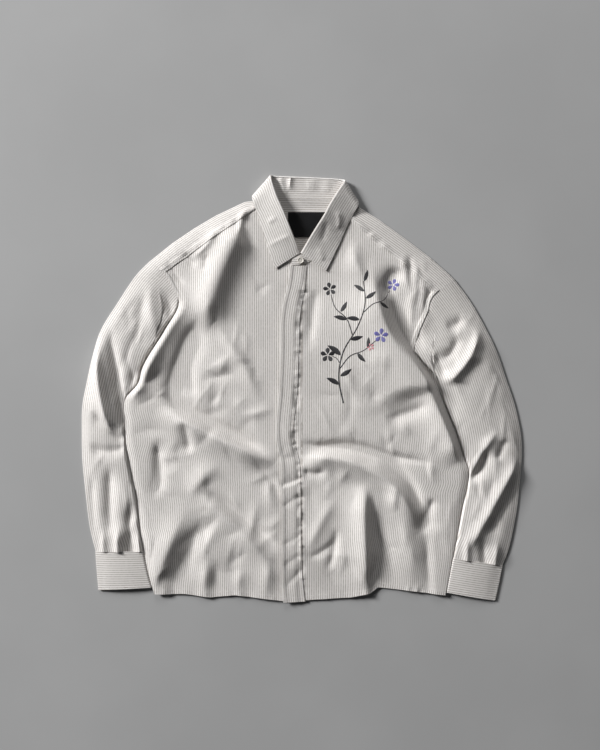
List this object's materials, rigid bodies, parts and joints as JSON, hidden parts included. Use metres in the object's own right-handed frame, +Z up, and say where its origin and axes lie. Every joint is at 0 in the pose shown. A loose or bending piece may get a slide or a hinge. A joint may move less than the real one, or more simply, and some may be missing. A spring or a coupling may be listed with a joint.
{
  "type": "drop-shoulder shirt laid flat",
  "caption": "Loose drop-shoulder shirt with a collar, a fly placket and long cuffed sleeves, laid flat on its back in soft folds.",
  "frame": {"origin": "bottom centre of the whole shirt, on the surface that it lies on", "axes": "+X to the viewer's right across the shirt, +Y from the hem to the collar, +Z up from the surface"},
  "size_m": [0.7912, 0.7666, 0.0233],
  "materials": {
    "striped_cloth": "matt, finely striped",
    "label_cloth": "matt, woven",
    "button_plastic": "satin"
  },
  "bodies": {
    "root": {"back_panel": "striped_cloth", "back_yoke": "striped_cloth", "front_left": "striped_cloth", "front_right": "striped_cloth", "fly_placket": "striped_cloth", "collar_stand": "striped_cloth", "collar_fall": "striped_cloth", "sleeve_left": "striped_cloth", "sleeve_right": "striped_cloth", "cuff_left": "striped_cloth", "cuff_right": "striped_cloth", "neck_label": "label_cloth", "neck_button": "button_plastic"}
  },
  "joints": []
}
